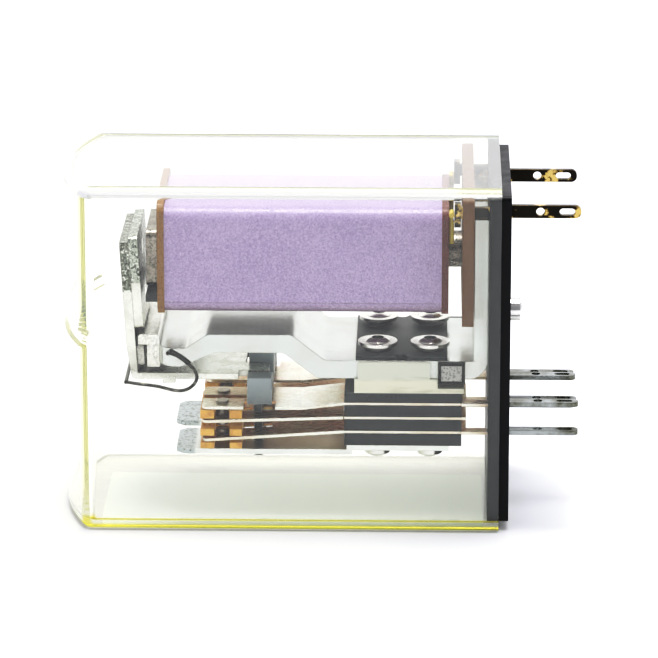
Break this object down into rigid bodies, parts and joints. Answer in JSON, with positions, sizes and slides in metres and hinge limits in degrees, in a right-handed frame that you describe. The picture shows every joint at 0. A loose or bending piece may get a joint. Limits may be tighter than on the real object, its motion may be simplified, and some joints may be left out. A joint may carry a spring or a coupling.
{
  "type": "industrial control relay",
  "caption": "Plug-in electromagnetic relay: clear cap over a coil, rocking armature and comb that switch changeover contact springs on a black terminal base.",
  "frame": {"origin": "centre of the base plate's outer seating face", "axes": "+X out of the base along the terminal blades, +Z from the contact stacks towards the coil, Y across the width; the relay lies on its -Z side"},
  "size_m": [0.0449, 0.0204, 0.0306],
  "materials": {
    "clear_cap": "clear moulded plastic, slightly yellowed",
    "label_film": "blank matt film",
    "base_black": "moulded phenolic, satin",
    "plated_steel": "plated sheet steel, satin",
    "magnet_iron": "plated soft iron",
    "bobbin_brown": "pressed board",
    "copper_wire": "enamelled copper wire",
    "violet_wrap": "violet plastic film, satin",
    "brown_board": "laminated paper board",
    "tinned_brass": "tarnished brass",
    "lead_sleeve": "yellowish sleeve",
    "insulator_black": "black laminate",
    "spring_strip": "nickel silver, bright",
    "contact_silver": "silver, slightly tarnished",
    "pale_spacer": "pale moulded plastic",
    "comb_grey": "translucent grey plastic",
    "guide_amber": "translucent amber plastic",
    "nut_dark": "dark oxide finish"
  },
  "bodies": {
    "frame": {"base_plate": "base_black", "bearing_bracket": "plated_steel", "bobbin": "bobbin_brown", "break_contacts": "contact_silver", "break_spring_front": "spring_strip", "break_spring_rear": "spring_strip", "clamp_nuts": "nut_dark", "clamp_pins": "plated_steel", "clamp_plate_front": "plated_steel", "clamp_plate_rear": "plated_steel", "coil_leads": "lead_sleeve", "coil_terminal_front": "tinned_brass", "coil_terminal_plate": "brown_board", "coil_terminal_rear": "tinned_brass", "coil_winding": "copper_wire", "coil_wrap": "violet_wrap", "common_terminal_front": "spring_strip", "common_terminal_rear": "spring_strip", "contact_guide_blocks": "guide_amber", "core": "plated_steel", "guide_stud": "plated_steel", "make_contacts": "contact_silver", "make_spring_front": "spring_strip", "make_spring_rear": "spring_strip", "pole_shoe": "magnet_iron", "return_spring": "spring_strip", "rivet_washers": "plated_steel", "stack_insulators": "insulator_black", "stack_rivets": "plated_steel", "stack_spacers": "pale_spacer", "stop_block": "insulator_black", "yoke": "plated_steel", "yoke_insulating_sheet": "insulator_black"},
    "cap": {"cover_cap": "clear_cap", "side_label": "label_film"},
    "armature": {"armature_lever": "plated_steel", "armature_plate": "magnet_iron", "armature_rivets": "plated_steel", "armature_bearing_pad": "plated_steel"},
    "comb": {"drive_comb": "comb_grey"},
    "moving_spring_front": {"moving_spring_front": "spring_strip", "moving_contacts_front": "contact_silver"},
    "moving_spring_rear": {"moving_spring_rear": "spring_strip", "moving_contacts_rear": "contact_silver"}
  },
  "joints": [
    {"name": "cap_pull", "type": "slide", "parent": "frame", "child": "cap", "axis": [-1, 0, 0], "range_m": [0, 0.045]},
    {"name": "armature_pivot", "type": "hinge", "parent": "frame", "child": "armature", "pos_m": [-0.03155, 0, -0.001], "axis": [0, 1, 0], "range_deg": [0, 3.3]},
    {"name": "comb_slide", "type": "slide", "parent": "frame", "child": "comb", "axis": [0, 0, -1], "range_m": [0, 0.0003]},
    {"name": "moving_spring_front_bend", "type": "hinge", "parent": "frame", "child": "moving_spring_front", "pos_m": [-0.01425, -0.004, -0.00588], "axis": [0, -1, 0], "range_deg": [0, 1.95]},
    {"name": "moving_spring_rear_bend", "type": "hinge", "parent": "frame", "child": "moving_spring_rear", "pos_m": [-0.01425, 0.004, -0.00588], "axis": [0, -1, 0], "range_deg": [0, 1.95]}
  ],
  "couplings": [
    {"joint": "comb_slide", "follows": "armature_pivot", "m_per_rad": 0.005209},
    {"joint": "moving_spring_front_bend", "follows": "armature_pivot", "ratio": 0.59091},
    {"joint": "moving_spring_rear_bend", "follows": "armature_pivot", "ratio": 0.59091}
  ]
}
